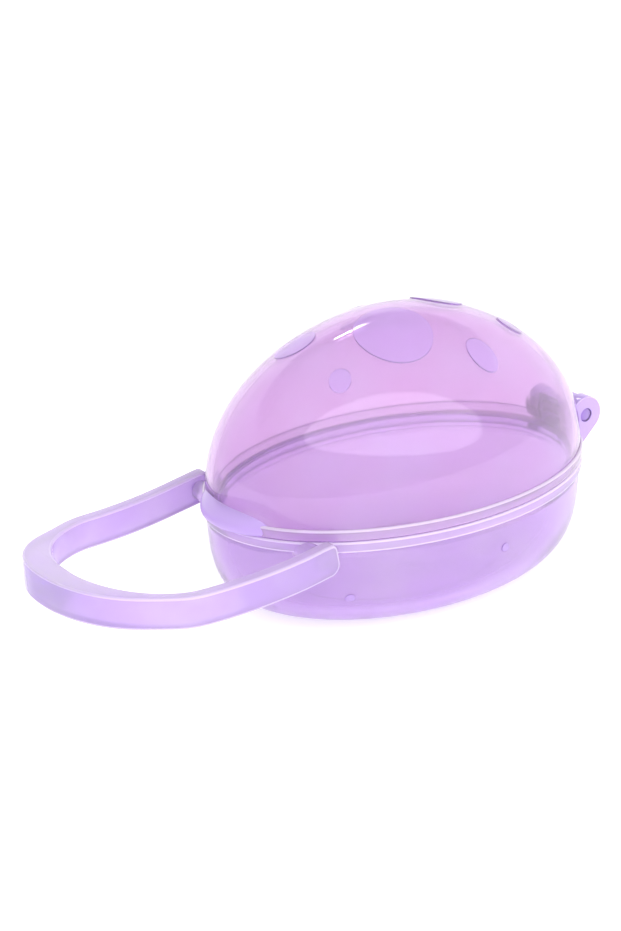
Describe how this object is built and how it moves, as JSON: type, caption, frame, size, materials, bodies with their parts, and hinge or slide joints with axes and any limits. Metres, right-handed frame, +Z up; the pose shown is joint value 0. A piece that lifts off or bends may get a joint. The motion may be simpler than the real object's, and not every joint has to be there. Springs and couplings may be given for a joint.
{
  "type": "pacifier case",
  "caption": "Oval pocket case for a pacifier: domed hinged lid on a bowl-shaped base, with a flat carry handle.",
  "frame": {"origin": "middle of the flat foot under the base bowl", "axes": "+Z up; +X from the thumb tab and handle towards the lid hinge; +Y along the hinge line"},
  "size_m": [0.1343, 0.0604, 0.0584],
  "materials": {
    "translucent_lilac": "gloss"
  },
  "bodies": {
    "base": {"base_bowl": "translucent_lilac", "hinge_pin": "translucent_lilac"},
    "lid": {"dome_lid": "translucent_lilac"},
    "handle": {"carry_handle": "translucent_lilac"}
  },
  "joints": [
    {"name": "lid_hinge", "type": "hinge", "parent": "base", "child": "lid", "pos_m": [0.0456, 0, 0.0256], "axis": [0, 1, 0], "range_deg": [0, 120]},
    {"name": "handle_pivot", "type": "hinge", "parent": "base", "child": "handle", "pos_m": [-0.0346, 0, 0.0195], "axis": [0, 1, 0], "range_deg": [-90, 90]}
  ]
}
